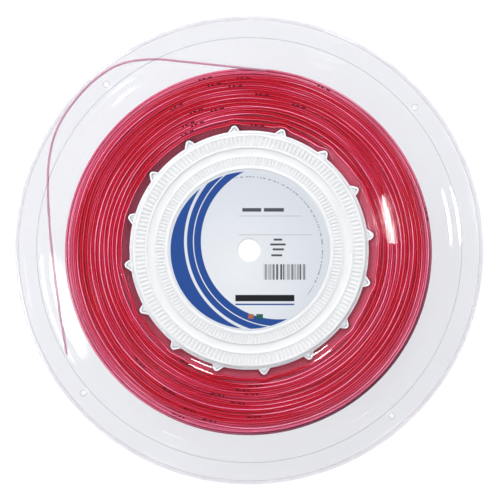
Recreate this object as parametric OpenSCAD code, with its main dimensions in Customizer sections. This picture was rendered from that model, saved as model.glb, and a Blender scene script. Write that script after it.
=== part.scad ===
// String reel: a clear two-part case clamped on a ribbed hub that carries the wound racket string.
// Millimetres. The reel lies on its rear rim. Z is the reel's axis and the labelled side faces +Z.
// Both sides are alike about the middle plane, so most pieces are drawn from there and mirrored.

/* [Case] */
// Outside diameter of the case
case_d = 270; // [260:1:300]
// Width of the reel over both rims
reel_w = 26; // [24:0.5:34]
// Wall of the clear mouldings
case_wall = 1.2; // [1:0.1:1.6]
// Gap between the two lips, which the string is drawn out through
lip_gap = 1; // [0.6:0.1:2]
// Outside rounding where the rim turns into the lip
rim_corner = 2; // [1.8:0.1:3]
// Width of the raised rim band
rim_band = 13; // [12:0.5:14]
// Width of the slope between the web and the rim band
rim_slope = 7; // [4:0.5:8]
// Depth of the web below the rim
web_drop = 0.8; // [0.4:0.1:1.5]
// Width of the flat seat round the hub
seat_w = 6.5; // [5:0.5:7]
// Width of the slope between the seat and the web
seat_slope = 4.5; // [3:0.5:6]
// Depth of the hub's seat below the web
seat_drop = 0.6; // [0.3:0.1:1]
// Diameter of the holes that park the string's end
end_hole_d = 3; // [2:0.25:4]
// Distance from the case's edge to the centre of an end hole
end_hole_inset = 9.5; // [8:0.5:11]
// Number of end holes in each flange
end_holes = 4; // [2:1:8]
// Angle of the first end hole, midway between two nubs
end_hole_angle = 40.75; // [0:0.25:90]

/* [Hub] */
// Bore for the spindle
bore_d = 12.5; // [10:0.25:20]
// Wall of the boss round the bore
boss_wall = 2.75; // [2:0.25:4]
// Bore of each flange, which the cap's skirt fills
flange_bore_d = 127; // [124:0.5:129]
// Wall of the cap's skirt
skirt_wall = 1.5; // [1:0.1:2]
// Depth of the skirt below the cap's plate
skirt_h = 4; // [2.5:0.5:5]
// Thickness of the cap's plate
cap_t = 1.2; // [1:0.1:1.4]
// Overlap of the cap's plate on the flange
cap_overlap = 3.3; // [2:0.1:4.5]
// Number of lugs that key each cap to its flange
keys = 4; // [2:1:8]
// Width of a key lug
key_w = 5; // [3:0.5:8]
// Height of a key lug above the skirt
key_h = 1.5; // [1:0.1:2]
// Angle of the first key lug
key_angle = 15; // [0:1:90]
// Wall of the drum
drum_wall = 1.5; // [1:0.1:2]
// Number of hollow nubs round the drum
nubs = 16; // [8:1:20]
// Angle of the first nub
nub_angle = 7; // [0:0.5:22]
// Height of the nubs above the drum
nub_h = 3.7; // [3:0.1:5]
// Radius of a nub's rounded tip
nub_tip_r = 2.2; // [1.6:0.1:2.6]
// Half width of a nub's steep side at its foot
nub_steep = 3.4; // [3:0.1:5]
// Half width of a nub's gentle side at its foot
nub_gentle = 4.6; // [3:0.1:6]
// Wall of the nubs
nub_wall = 1; // [0.8:0.1:1.2]
// Thickness of the catch ring inside the drum
catch_t = 2; // [1.5:0.25:3]
// Number of snap hooks on each cap
hooks = 8; // [4:1:10]
// Width of a snap hook
hook_w = 8; // [5:0.5:10]
// Thickness of a hook's arm
hook_t = 1.4; // [1:0.1:1.8]
// Reach of a hook's barb past its arm
barb = 1.5; // [1:0.1:1.6]
// Height of a hook's barb
barb_h = 1.9; // [1.5:0.1:3]
// Height of the stiffening ribs under the cap
stiffener_h = 5; // [3:0.5:6]
// Thickness of the stiffening ribs
stiffener_t = 1.2; // [0.8:0.1:1.6]

/* [Hub face] */
// Diameter of the label
label_d = 92.4; // [80:0.2:93]
// Thickness of the label
label_t = 0.2; // [0.1:0.05:0.35]
// Depth of the recess that the label lies in
label_recess = 0.4; // [0.35:0.05:0.6]
// Width of the raised ring outside the label
face_ring = 1.9; // [1:0.1:2.5]
// Width of the inner band, which takes fine ribs
inner_band = 4.9; // [3:0.1:5.2]
// Depth of both bands
band_depth = 0.3; // [0.1:0.05:0.5]
// Width of the groove between the bands
groove_w = 4.6; // [3:0.1:5]
// Depth of the groove
groove_depth = 0.5; // [0.2:0.05:0.6]
// Width of the ring on the groove's inner side
groove_inner_ring = 0.6; // [0.4:0.1:0.8]
// Width of the ring on the groove's outer side
groove_outer_ring = 1.1; // [0.6:0.1:1.3]
// Width of the outer band, which takes fine ribs
outer_band = 5.6; // [4:0.1:6]

/* [String] */
// Diameter of the string
string_d = 1.3; // [1.1:0.05:1.4]
// Outside diameter of the wound string
wound_d = 208.8; // [190:0.2:210]
// Gap between the turns of the outer layer
turn_gap = 0.5; // [0.45:0.05:0.8]
// Distance between the turns that stand proud on the wound string's faces
proud_step = 10; // [8:0.5:14]
// Angle at which the string's end leaves the winding
leave_angle = 84; // [78:1:90]

/* [Fits] */
// Clearance of the cap's skirt and keys in the flange
skirt_fit = 0.2; // [0.1:0.05:0.4]
// Clearance of the hooks in their slots
hook_fit = 0.2; // [0.1:0.05:0.4]
// Clearance between a barb and the catch ring
catch_fit = 0.1; // [0.05:0.05:0.3]
// Gap between the two bosses where they meet
boss_fit = 0.1; // [0.05:0.05:0.5]
// Clearance round the label in its recess
label_fit = 0.5; // [0.2:0.1:1]
// Clearance of the wound string from the case, the nubs and its own core
wound_fit = 0.35; // [0.3:0.05:0.5]

/* [Hidden] */

$fn = 96;
cut = 1; // how far a cutting shape runs past the surface it opens

// Heights above the middle plane, which both sides share
middle = reel_w / 2;
rim_top = middle;
web_top = rim_top - web_drop;
seat_top = web_top - seat_drop;
cap_top = seat_top + cap_t;
web_under = web_top - case_wall;
seat_under = seat_top - case_wall;

// Radii, from the axis outwards
bore_r = bore_d / 2;
boss_r = bore_r + boss_wall;
flange_bore_r = flange_bore_d / 2;
skirt_r = flange_bore_r - skirt_fit;
cap_r = flange_bore_r + cap_overlap;
drum_r = cap_r + drum_wall;
drum_mid_r = cap_r + drum_wall / 2;
nub_r = drum_r + nub_h;
nub_tip_steps = 6;
seat_r = flange_bore_r + seat_w;
web_r = seat_r + seat_slope;
case_r = case_d / 2;
rim_r = case_r - rim_band;
slope_r = rim_r - rim_slope;
end_hole_r = case_r - end_hole_inset;

// The hooks run down inside the skirt and catch on a ring inside the drum
arm_gap = 1; // room behind the arms, for them to bend as they snap in
arm_r = skirt_r - skirt_wall - arm_gap;
slot_r = arm_r + hook_fit;
catch_r = arm_r - hook_t - hook_fit;
hook_step = 360 / hooks;

// Rings of the hub's face, from the label outwards
recess_r = label_d / 2 + label_fit;
inner_band_r = recess_r + face_ring;
groove_r = inner_band_r + inner_band + groove_inner_ring;
outer_band_r = groove_r + groove_w + groove_outer_ring;

// The outer layer: one unbroken helix, wound counter-clockwise towards the front
loop_rings = 24;
loop_sides = 6;
turn_r = wound_d / 2 - string_d / 2;
turn_pitch = string_d + turn_gap;
turns_room = 2 * (web_under - wound_fit) - string_d;
turns = floor(turns_room / turn_pitch);
turns_w = turns * turn_pitch;
helix_steps = turns * loop_rings;
function helix_point(step) = let (angle = leave_angle + (step - helix_steps) * 360 / loop_rings)
    [turn_r * cos(angle), turn_r * sin(angle),
     middle - turns_w / 2 + turns_w * step / helix_steps];
leave_dir = [-sin(leave_angle), cos(leave_angle), 0];
leave_point = helix_point(helix_steps) + string_d * leave_dir;
start_point = helix_point(0) - string_d * leave_dir;
turn_points = concat([start_point], [for (i = [0:helix_steps]) helix_point(i)], [leave_point]);

// The core lies under the outer layer, whose straight steps come closest midway between rings
core_r = turn_r * cos(180 / loop_rings) - string_d / 2 - wound_fit;
core_in_r = nub_r + wound_fit;
core_corner = 1.5;
proud_half = web_under - wound_fit;
core_half = proud_half - string_d / 2;

// Turns that stand half their width proud of the core's faces: the first lies just clear of the seat
proud_radii = [web_r + 1.5 * string_d:proud_step:core_r - core_corner - string_d];
function proud_turn(r) = [for (angle = [180:-45:0])
    [r + string_d / 2 * cos(angle), core_half + string_d / 2 * sin(angle)]];

// Least gap between two turns, measured on the points of the helix
least_turn_gap = min([for (i = [0:len(turn_points) - 1])
    for (j = [i + loop_rings / 2:len(turn_points) - 1])
        norm(turn_points[i] - turn_points[j])]) - string_d;
echo(least_turn_gap = least_turn_gap);

// The string's loose end: it springs out to the lips, follows them and comes back in.
// Each point is x, y and the height above the middle plane.
tail_sides = 8;
tail_step = 3.5;
tail_route = [
    [-12, 105.6, 9.5], [-35, 108.1, 9], [-55, 109.8, 8.5], [-74, 107, 8], [-90, 97, 7.5],
    [-103, 82.5, 7], [-111, 69, 6.5], [-115, 54, 6], [-116, 38, 6], [-115, 14, 6],
    [-112, -14, 6.5], [-109, -36, 6.5], [-105, -60, 6]
];
tail_points = concat([leave_point], [for (p = tail_route) [p[0], p[1], p[2] + middle]]);

// A smooth line through points: each stretch is cut into equal steps near the wanted length
function along(p0, p1, p2, p3, t) =
    0.5 * (2 * p1 + (p2 - p0) * t + (2 * p0 - 5 * p1 + 4 * p2 - p3) * t * t
           + (3 * p1 - p0 - 3 * p2 + p3) * t * t * t);
function smooth(points, step, lead) = let (
    ends = concat([points[0] - lead], points, [2 * points[len(points) - 1] - points[len(points) - 2]])
) concat(
    [for (i = [1:len(ends) - 3])
        let (n = max(1, round(norm(ends[i + 1] - ends[i]) / step)))
            for (k = [0:n - 1]) along(ends[i - 1], ends[i], ends[i + 1], ends[i + 2], k / n)],
    [points[len(points) - 1]]);

function unit(v) = v / norm(v);

// A tube of flat sides along points. Its first and last rings stand square to the given directions.
module tube(points, radius, sides, first_dir, last_dir) {
    last = len(points) - 1;
    dirs = concat([first_dir], [for (i = [1:last - 1]) unit(points[i + 1] - points[i - 1])], [last_dir]);
    rings = [for (i = [0:last])
        let (side = unit(cross(dirs[i], [0, 0, 1])), up = cross(side, dirs[i]))
            for (k = [0:sides - 1])
                points[i] + radius * (cos(k * 360 / sides) * side + sin(k * 360 / sides) * up)];
    walls = [for (i = [0:last - 1]) for (k = [0:sides - 1])
        let (a = i * sides + k, b = i * sides + (k + 1) % sides)
            each [[a, b + sides, b], [a, a + sides, b + sides]]];
    start_cap = [for (k = [1:sides - 2]) [0, k, k + 1]];
    end_cap = [for (k = [1:sides - 2]) [last * sides, last * sides + k + 1, last * sides + k]];
    polyhedron(rings, concat(walls, start_cap, end_cap), convexity = 10);
}

// Puts a piece that is drawn from the middle plane upwards on the front or the rear side
module on_front() translate([0, 0, middle]) children();
module on_rear() translate([0, 0, middle]) mirror([0, 0, 1]) children();

// A flat ring, standing on the given height
module ring(inner, outer, height, bottom) translate([0, 0, bottom]) linear_extrude(height) difference() {
    circle(outer);
    circle(inner);
}

// Clear flange with its lip, which ends short of the middle plane
module flange() {
    inner_corner = rim_corner - case_wall;
    corner_r = case_r - rim_corner;
    corner_h = rim_top - rim_corner;
    difference() {
        rotate_extrude($fn = 120) polygon(concat(
            [[flange_bore_r, seat_under], [flange_bore_r, seat_top], [seat_r, seat_top],
             [web_r, web_top], [slope_r, web_top], [rim_r, rim_top]],
            [for (a = [90:-30:0]) [corner_r + rim_corner * cos(a), corner_h + rim_corner * sin(a)]],
            [[case_r, lip_gap / 2], [case_r - case_wall, lip_gap / 2]],
            [for (a = [0:45:90]) [corner_r + inner_corner * cos(a), corner_h + inner_corner * sin(a)]],
            [[rim_r, rim_top - case_wall], [slope_r, web_under], [web_r, web_under],
             [seat_r, seat_under]]));
        for (i = [0:end_holes - 1]) rotate(end_hole_angle + i * 360 / end_holes)
            translate([end_hole_r, 0, rim_top - case_wall - cut])
                cylinder(h = case_wall + 2 * cut, d = end_hole_d, $fn = 24);
        key_slots();
    }
}

// Notches in the flange's bore, one for each key lug
module key_slots() for (i = [0:keys - 1]) rotate(key_angle + i * 360 / keys)
    translate([skirt_r - cut, -key_w / 2 - skirt_fit, seat_under - cut])
        cube([key_h + skirt_fit + cut, key_w + 2 * skirt_fit, case_wall + 2 * cut]);

// Cap: a stepped face plate, a skirt through the flange, key lugs, a spindle boss and snap hooks
module cap() {
    boss_h = seat_top - boss_fit / 2;
    difference() {
        union() {
            translate([0, 0, seat_top]) cylinder(h = cap_t, r = cap_r);
            ring(skirt_r - skirt_wall, skirt_r, skirt_h, seat_top - skirt_h);
            translate([0, 0, boss_fit / 2]) cylinder(h = boss_h, r = boss_r, $fn = 48);
            for (i = [0:keys - 1]) rotate(key_angle + i * 360 / keys)
                translate([skirt_r - skirt_wall / 2, -key_w / 2, seat_under])
                    cube([key_h + skirt_wall / 2, key_w, case_wall]);
        }
        translate([0, 0, -cut]) cylinder(h = reel_w, r = bore_r, $fn = 48);
        translate([0, 0, cap_top - label_recess]) cylinder(h = cut + label_recess, r = recess_r);
        ring(inner_band_r, inner_band_r + inner_band, cut + band_depth, cap_top - band_depth);
        ring(groove_r, groove_r + groove_w, cut + groove_depth, cap_top - groove_depth);
        ring(outer_band_r, outer_band_r + outer_band, cut + band_depth, cap_top - band_depth);
    }
}

// Snap hooks and the stiffening ribs between them, turned as a set
module hooks_and_ribs() {
    rib_start = boss_r - boss_wall / 2;
    rib_end = skirt_r - skirt_wall / 2;
    for (i = [0:hooks - 1]) {
        rotate(i * hook_step) hook();
        rotate((i + 0.5) * hook_step) translate([rib_start, -stiffener_t / 2, seat_top - stiffener_h])
            cube([rib_end - rib_start, stiffener_t, stiffener_h]);
    }
}

// One hook: a straight arm with a sloped barb that catches under the ring inside the drum
module hook() {
    catch_under = -catch_t / 2 - catch_fit;
    tip = catch_under - barb_h;
    rotate([90, 0, 0]) translate([0, 0, -hook_w / 2]) linear_extrude(hook_w) polygon([
        [arm_r - hook_t, seat_top + cap_t / 4], [arm_r, seat_top + cap_t / 4], [arm_r, catch_under],
        [arm_r + barb, catch_under], [arm_r, tip], [arm_r - hook_t, tip]
    ]);
}

// Angle on a nub's tip circle at which a line from a foot point touches it, on the chosen side
function touch_angle(foot, centre, radius, side) = let (away = foot - centre)
    atan2(away[1], away[0]) + side * acos(radius / norm(away));

// Outline of a nub whose feet stand at foot_x, drawn in by inset for its hollow
module nub_outline(foot_x, inset) {
    centre = [nub_r - nub_tip_r, 0];
    radius = nub_tip_r - inset;
    steep_foot = [foot_x, -nub_steep + inset];
    gentle_foot = [foot_x, nub_gentle - inset];
    from = touch_angle(steep_foot, centre, radius, 1);
    to = touch_angle(gentle_foot, centre, radius, -1);
    polygon(concat(
        [steep_foot],
        [for (i = [0:nub_tip_steps])
            let (a = from + (to - from) * i / nub_tip_steps) centre + radius * [cos(a), sin(a)]],
        [gentle_foot]));
}

// Drum with hollow nubs and an inner catch ring
module hub_drum() color([0.95, 0.95, 0.96]) translate([0, 0, middle]) {
    translate([0, 0, -seat_under]) linear_extrude(2 * seat_under) difference() {
        union() {
            circle(drum_r);
            for (i = [0:nubs - 1]) rotate(nub_angle + i * 360 / nubs) nub_outline(drum_mid_r, 0);
        }
        circle(cap_r);
        for (i = [0:nubs - 1]) rotate(nub_angle + i * 360 / nubs) nub_outline(cap_r - cut, nub_wall);
    }
    translate([0, 0, -catch_t / 2]) linear_extrude(catch_t) difference() {
        circle(drum_mid_r);
        circle(catch_r);
        for (i = [0:2 * hooks - 1]) rotate(i * hook_step / 2)
            translate([catch_r - cut, -hook_w / 2 - hook_fit])
                square([slot_r - catch_r + cut, hook_w + 2 * hook_fit]);
    }
}

module front_cap() color([0.96, 0.96, 0.97]) on_front() {
    cap();
    hooks_and_ribs();
}

module rear_cap() color([0.96, 0.96, 0.97]) on_rear() {
    cap();
    rotate(hook_step / 2) hooks_and_ribs();
}

module front_flange() color([0.88, 0.90, 0.93, 0.35]) on_front() flange();

module rear_flange() color([0.88, 0.90, 0.93, 0.35]) on_rear() flange();

module front_label() color([0.83, 0.87, 0.92]) on_front()
    ring(bore_r + label_fit, label_d / 2, label_t, cap_top - label_recess);

// The inner layers of the winding, as one ring. On its faces a turn stands proud here and there.
module string_core() color([0.75, 0.12, 0.24]) on_front() {
    upper = concat([[core_in_r, core_half]], [for (r = proud_radii) each proud_turn(r)],
                   [[core_r - core_corner, core_half], [core_r, core_half - core_corner]]);
    rotate_extrude($fn = 120)
        polygon(concat(upper, [for (i = [len(upper) - 1:-1:0]) [upper[i][0], -upper[i][1]]]));
}

module string_outer_turns() color([0.78, 0.14, 0.27])
    tube(turn_points, string_d / 2, loop_sides, leave_dir, leave_dir);

module string_tail() color([0.78, 0.14, 0.27]) {
    route = smooth(tail_points, tail_step, 10 * leave_dir);
    last = len(route) - 1;
    tube(route, string_d / 2, tail_sides, leave_dir, unit(route[last] - route[last - 1]));
}

hub_drum();
front_cap();
rear_cap();
front_flange();
rear_flange();
front_label();
string_core();
string_outer_turns();
string_tail();
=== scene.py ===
# %% [markdown]
# # A reel of racket string
#
# This reel is a clear, shallow case around a white hub, with about two hundred metres of glossy
# crimson string wound between its two flanges. Almost everything on it is round, so most pieces here
# are a section turned about one axis, and what repeats round that axis is made by Geometry Nodes.
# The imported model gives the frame: Z is the reel's axis, the labelled side faces +Z, and the reel
# lies on its rear rim at Z = 0.

# %% Load the frame
import math
from functools import partial

import bmesh
import bpy
from mathutils import Matrix, Vector


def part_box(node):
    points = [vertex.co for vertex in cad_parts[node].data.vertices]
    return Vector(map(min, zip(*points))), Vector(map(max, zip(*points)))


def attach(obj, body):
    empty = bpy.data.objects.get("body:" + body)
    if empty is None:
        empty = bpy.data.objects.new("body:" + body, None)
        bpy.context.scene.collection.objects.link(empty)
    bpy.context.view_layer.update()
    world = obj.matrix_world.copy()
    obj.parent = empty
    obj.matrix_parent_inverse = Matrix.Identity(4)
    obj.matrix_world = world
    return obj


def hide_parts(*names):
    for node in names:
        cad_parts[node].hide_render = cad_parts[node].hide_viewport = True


MM = 0.001
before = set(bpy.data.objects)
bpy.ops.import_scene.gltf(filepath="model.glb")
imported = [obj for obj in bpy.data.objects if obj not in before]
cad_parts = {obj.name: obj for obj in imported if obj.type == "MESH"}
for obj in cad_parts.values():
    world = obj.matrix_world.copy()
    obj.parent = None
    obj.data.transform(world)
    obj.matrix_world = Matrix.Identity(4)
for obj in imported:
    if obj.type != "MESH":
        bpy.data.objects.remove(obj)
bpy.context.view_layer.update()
case_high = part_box("front_flange")[1]
REEL_WIDTH = case_high.z
MIDDLE = REEL_WIDTH / 2
CASE_R = case_high.x
print("case radius", round(CASE_R / MM, 1), "mm, width", round(REEL_WIDTH / MM, 1), "mm")

# %% [markdown]
# The camera looks straight down the reel's axis from about a metre and a half away, as in a
# product picture. One pixel's size at the front rim fixes the lens, so the case fills the frame by
# its real size and not by trial.

# %% Camera
FRAME_PIXELS = 500
PIXEL_AT_RIM = 0.5733 * MM
CASE_CENTRE_PX = (249.15, 250.15)
CAMERA_DISTANCE = 1.4


def put(name, data):
    """A new object with this data, linked into the scene."""
    made = bpy.data.objects.new(name, data)
    bpy.context.collection.objects.link(made)
    return made


camera_data = bpy.data.cameras.new("camera")
camera_data.sensor_width = 36
camera_data.lens = camera_data.sensor_width * CAMERA_DISTANCE / (FRAME_PIXELS * PIXEL_AT_RIM)
camera_data.clip_start = 0.05
camera_data.clip_end = 20
camera = put("camera", camera_data)
camera.location = (
    (FRAME_PIXELS / 2 - CASE_CENTRE_PX[0]) * PIXEL_AT_RIM,
    (CASE_CENTRE_PX[1] - FRAME_PIXELS / 2) * PIXEL_AT_RIM,
    REEL_WIDTH + CAMERA_DISTANCE,
)
bpy.context.scene.camera = camera
print("lens", round(camera_data.lens, 1), "mm")

# %% [markdown]
# The string's loose end is the one free cord. It leaves the winding straight along its tangent,
# springs out until it touches the inside of the lips, follows them for a while and comes back in.
# Its route is a short list of points with a smooth line through them.

# %% The loose end of the string
STRING_D = 1.3 * MM
WOUND_R = 104.4 * MM
TURN_R = WOUND_R - STRING_D / 2
LEAVE_ANGLE = math.radians(84)
LEAVE_HEIGHT = 9.9 * MM
LEAVE_LEAD = 10 * MM
leave_direction = Vector((-math.sin(LEAVE_ANGLE), math.cos(LEAVE_ANGLE), 0))
leave_point = (
    Vector((TURN_R * math.cos(LEAVE_ANGLE), TURN_R * math.sin(LEAVE_ANGLE), MIDDLE + LEAVE_HEIGHT))
    + STRING_D * leave_direction
)
# Each point is x, y and the height above the middle plane, in millimetres.
TAIL_ROUTE = [
    (-12, 105.6, 9.5), (-35, 108.1, 9), (-55, 109.8, 8.5), (-74, 107, 8), (-90, 97, 7.5),
    (-103, 82.5, 7), (-111, 69, 6.5), (-115, 54, 6), (-116, 38, 6), (-115, 14, 6),
    (-112, -14, 6.5), (-109, -36, 6.5), (-105, -60, 6),
]
TAIL_STEP = 2 * MM


def along(p0, p1, p2, p3, t):
    """A point between p1 and p2 on a smooth line through all four."""
    return 0.5 * (
        2 * p1 + (p2 - p0) * t + (2 * p0 - 5 * p1 + 4 * p2 - p3) * t * t
        + (3 * p1 - p0 - 3 * p2 + p3) * t**3
    )


def smooth_line(points, step, lead):
    """Points about one step apart on a smooth line through the given ones."""
    ends = [points[0] - lead, *points, 2 * points[-1] - points[-2]]
    line = []
    for p0, p1, p2, p3 in zip(ends, ends[1:], ends[2:], ends[3:]):
        count = max(1, round((p2 - p1).length / step))
        line += [along(p0, p1, p2, p3, k / count) for k in range(count)]
    return [*line, points[-1]]


def plain_mesh(source, name):
    """What an object looks like, with its bevel or modifiers, as a mesh of its own."""
    bpy.context.view_layer.update()
    seen = source.evaluated_get(bpy.context.evaluated_depsgraph_get())
    mesh = bpy.data.meshes.new_from_object(seen)
    mesh.name = name
    return mesh


def tube(name, line, radius):
    """A round tube along a line, with one ring at each of its points."""
    curve = bpy.data.curves.new(name + "_line", "CURVE")
    curve.dimensions = "3D"
    curve.bevel_depth = radius
    curve.bevel_resolution = 3
    curve.use_fill_caps = True
    spline = curve.splines.new("POLY")
    spline.points.add(len(line) - 1)
    for point, place in zip(spline.points, line):
        point.co = (*place, 1)
    bent = put(name + "_line", curve)
    mesh = plain_mesh(bent, name)
    mesh.shade_smooth()
    bpy.data.objects.remove(bent)
    return put(name, mesh)


tail_points = [leave_point]
tail_points += [Vector((x * MM, y * MM, MIDDLE + h * MM)) for x, y, h in TAIL_ROUTE]
tail_line = smooth_line(tail_points, TAIL_STEP, LEAVE_LEAD * leave_direction)
loose_end = tube("loose_string_end", tail_line, STRING_D / 2)
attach(loose_end, "root")
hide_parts("string_tail")

# %% [markdown]
# Every material starts from what it is made of. One helper turns a colour as a painter would write
# it into the linear numbers that light needs, and one adds a node with its settings and links. The
# others are the few steps that come back in most trees, such as a sum, a blend or a ramp.

# %% Helpers for node trees


def colour(hex_code):
    """An sRGB hex colour as linear numbers."""
    values = [int(hex_code[i:i + 2], 16) / 255 for i in (1, 3, 5)]
    linear = [v / 12.92 if v <= 0.04045 else ((v + 0.055) / 1.055) ** 2.4 for v in values]
    return (*linear, 1.0)


def new_material(name):
    """An empty node material and its tree."""
    material = bpy.data.materials.new(name)
    material.use_nodes = True
    material.node_tree.nodes.clear()
    print("material", name)
    return material, material.node_tree


def add(tree, kind, settings=None, **inputs):
    """A node of a kind with its settings; an input is a value or the socket that feeds it.
    Input names have _ for a space, and i0, i1 and so on pick an input by its place."""
    node = tree.nodes.new(kind)
    for key, value in (settings or {}).items():
        setattr(node, key, value)
    for key, value in inputs.items():
        by_place = key[0] == "i" and key[1:].isdigit()
        socket = node.inputs[int(key[1:])] if by_place else node.inputs[key.replace("_", " ")]
        if isinstance(value, bpy.types.NodeSocket):
            tree.links.new(value, socket)
        else:
            socket.default_value = value
    return node


def maths(tree, operation, a, b=0.0, c=0.0, clamp=False):
    """The result of one sum on numbers or sockets."""
    settings = {"operation": operation, "use_clamp": clamp}
    return add(tree, "ShaderNodeMath", settings, i0=a, i1=b, i2=c).outputs[0]


def blend(tree, share, first, second):
    """A colour on its way from a first to a second one."""
    return add(
        tree, "ShaderNodeMix", {"data_type": "RGBA"}, Factor=share, i6=first, i7=second,
    ).outputs[2]


def ramp(tree, value, start, end, at_start=0.0, at_end=1.0, smooth=False):
    """One value up to start, another from end on, and a straight or smooth way between them."""
    settings = {"interpolation_type": "SMOOTHSTEP" if smooth else "LINEAR"}
    return add(
        tree, "ShaderNodeMapRange", settings, Value=value, From_Min=start, From_Max=end,
        To_Min=at_start, To_Max=at_end,
    ).outputs[0]


def length(tree, a):
    """How long a vector is."""
    return add(tree, "ShaderNodeVectorMath", {"operation": "LENGTH"}, i0=a).outputs["Value"]


def dot(tree, a, b):
    """How far one vector reaches along another."""
    settings = {"operation": "DOT_PRODUCT"}
    return add(tree, "ShaderNodeVectorMath", settings, i0=a, i1=b).outputs["Value"]


def vector(tree, x=0.0, y=0.0, z=0.0):
    """A vector from its X, Y and Z."""
    return add(tree, "ShaderNodeCombineXYZ", X=x, Y=y, Z=z).outputs[0]


def parts(tree, whole):
    """A vector's X, Y and Z."""
    return add(tree, "ShaderNodeSeparateXYZ", Vector=whole).outputs


def object_place(tree):
    """A point's place in the frame."""
    return add(tree, "ShaderNodeTexCoord").outputs["Object"]


def reel_place(tree):
    """A point's place, its X, Y and Z, its flat vector from the reel's axis and that one's length."""
    place = object_place(tree)
    axes = parts(tree, place)
    across = vector(tree, axes["X"], axes["Y"])
    return place, axes, across, length(tree, across)


def noise(tree, place, scale, detail):
    """Soft noise in space, its grains 1 / scale metres apart."""
    node = add(tree, "ShaderNodeTexNoise", Vector=place, Scale=scale, Detail=detail)
    return node.outputs["Fac"]


def line_noise(tree, value, scale, detail, roughness=0.5):
    """Noise along one number."""
    node = add(
        tree, "ShaderNodeTexNoise", {"noise_dimensions": "1D"}, W=value, Scale=scale, Detail=detail,
        Roughness=roughness,
    )
    return node.outputs["Fac"]


def bump(tree, height, strength, distance):
    """A normal tilted as if the surface had this relief."""
    node = add(tree, "ShaderNodeBump", Height=height, Strength=strength, Distance=distance)
    return node.outputs["Normal"]


def over(tree, share, first, second):
    """One shader mixed with another."""
    return add(
        tree, "ShaderNodeMixShader", Fac=share, i1=first.outputs[0], i2=second.outputs[0],
    )


def surface(tree, shader):
    """The shader that a material shows."""
    add(tree, "ShaderNodeOutputMaterial", Surface=shader.outputs[0])


# %% [markdown]
# The case is crystal polystyrene, the brittle clear plastic of such reels. It bends light more than
# most plastics (IOR 1.59), so every step in its section draws a fine line. Moulding leaves its
# flat walls a little wavy, which a faint large bump shows. Two kinds of ray pass straight through:
# those on their way to a lamp, or the case would throw a black shadow, and most of those that
# graze a thin edge, where a real wall a millimetre thick is nearly as clear as its flats.

# %% Clear polystyrene
STEP_LINE_R = 121.9 * MM
STEP_LINE_WIDTH = 0.4 * MM
END_HOLE_R = 125.5 * MM
END_HOLE_D = 3 * MM
END_HOLE_ANGLE = math.radians(40.75)
HOLE_RING_WIDTH = 0.6 * MM

clear_plastic, tree = new_material("clear_polystyrene")
calc = partial(maths, tree)
place, axes, across, from_axis = reel_place(tree)
# Painted shade: a fine grey line on the front flange along the rim band's inner edge, for the
# dark line that the clear step's edge draws.
on_ring = calc("COMPARE", from_axis, STEP_LINE_R, STEP_LINE_WIDTH / 2)
in_front = calc("GREATER_THAN", axes["Z"], MIDDLE)
# A fainter painted shade rings each of the four small end holes, for the dark outline of the
# hole's edge. A turn and a fold lay all four over one another.
squared = add(
    tree, "ShaderNodeVectorRotate", {"rotation_type": "Z_AXIS"}, Vector=across, Angle=-END_HOLE_ANGLE,
)
folded = add(tree, "ShaderNodeVectorMath", {"operation": "ABSOLUTE"}, i0=squared.outputs[0])
sides = parts(tree, folded.outputs[0])
past = calc("SUBTRACT", calc("MAXIMUM", sides["X"], sides["Y"]), END_HOLE_R)
beside = calc("MINIMUM", sides["X"], sides["Y"])
to_hole = length(tree, vector(tree, past, beside))
round_hole = calc("COMPARE", to_hole, (END_HOLE_D + HOLE_RING_WIDTH) / 2, HOLE_RING_WIDTH / 2)
marked = calc("MAXIMUM", on_ring, calc("MULTIPLY", round_hole, 0.5))
tint = blend(tree, calc("MULTIPLY", marked, in_front), colour("#FCFDFE"), colour("#D2D5DB"))
body = add(
    tree, "ShaderNodeBsdfPrincipled", Base_Color=tint, Roughness=0.03, IOR=1.59,
    Transmission_Weight=1.0, Normal=bump(tree, noise(tree, place, 45.0, 1.0), 0.007, 1 * MM),
)
rays = add(tree, "ShaderNodeLightPath").outputs
slant = add(tree, "ShaderNodeLayerWeight", Blend=0.5)
edge = ramp(tree, slant.outputs["Facing"], 0.1, 0.5, at_end=0.85)
through = blend(tree, edge, colour("#F9FAFB"), colour("#FAFAFC"))
passing = add(tree, "ShaderNodeBsdfTransparent", Color=through)
straight = calc("MAXIMUM", rays["Is Shadow Ray"], edge)
surface(tree, over(tree, straight, body, passing))

# %% [markdown]
# The hub is milky white polypropylene. Light goes a millimetre or so into it, which softens its
# fine ribs, and its skin keeps the satin of the mould. The drum's wall and nubs have a faint painted
# glow, an emission that stands in for light from the caps coming out of them again.

# %% Milky polypropylene


def milky_plastic(name, glow=0.0):
    """A satin white plastic that light goes into; glow gives it a painted glow, an emission of its
    own.
    """
    material, tree = new_material(name)
    place = object_place(tree)
    satin = noise(tree, place, 900.0, 2.0)
    milk = blend(tree, noise(tree, place, 30.0, 2.0), colour("#EDEFF1"), colour("#F4F5F7"))
    body = add(
        tree, "ShaderNodeBsdfPrincipled", Base_Color=milk, Roughness=0.38, IOR=1.49,
        Subsurface_Weight=0.35, Subsurface_Radius=(1.0, 1.0, 1.0), Subsurface_Scale=1.2 * MM,
        Normal=bump(tree, satin, 0.06, 0.1 * MM), Emission_Strength=glow,
    )
    surface(tree, body)
    return material


hub_plastic = milky_plastic("milky_polypropylene")
# The drum's copy has a painted glow: it emits a little light of its own.
drum_plastic = milky_plastic("milky_polypropylene_backlit", glow=0.07)

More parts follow.
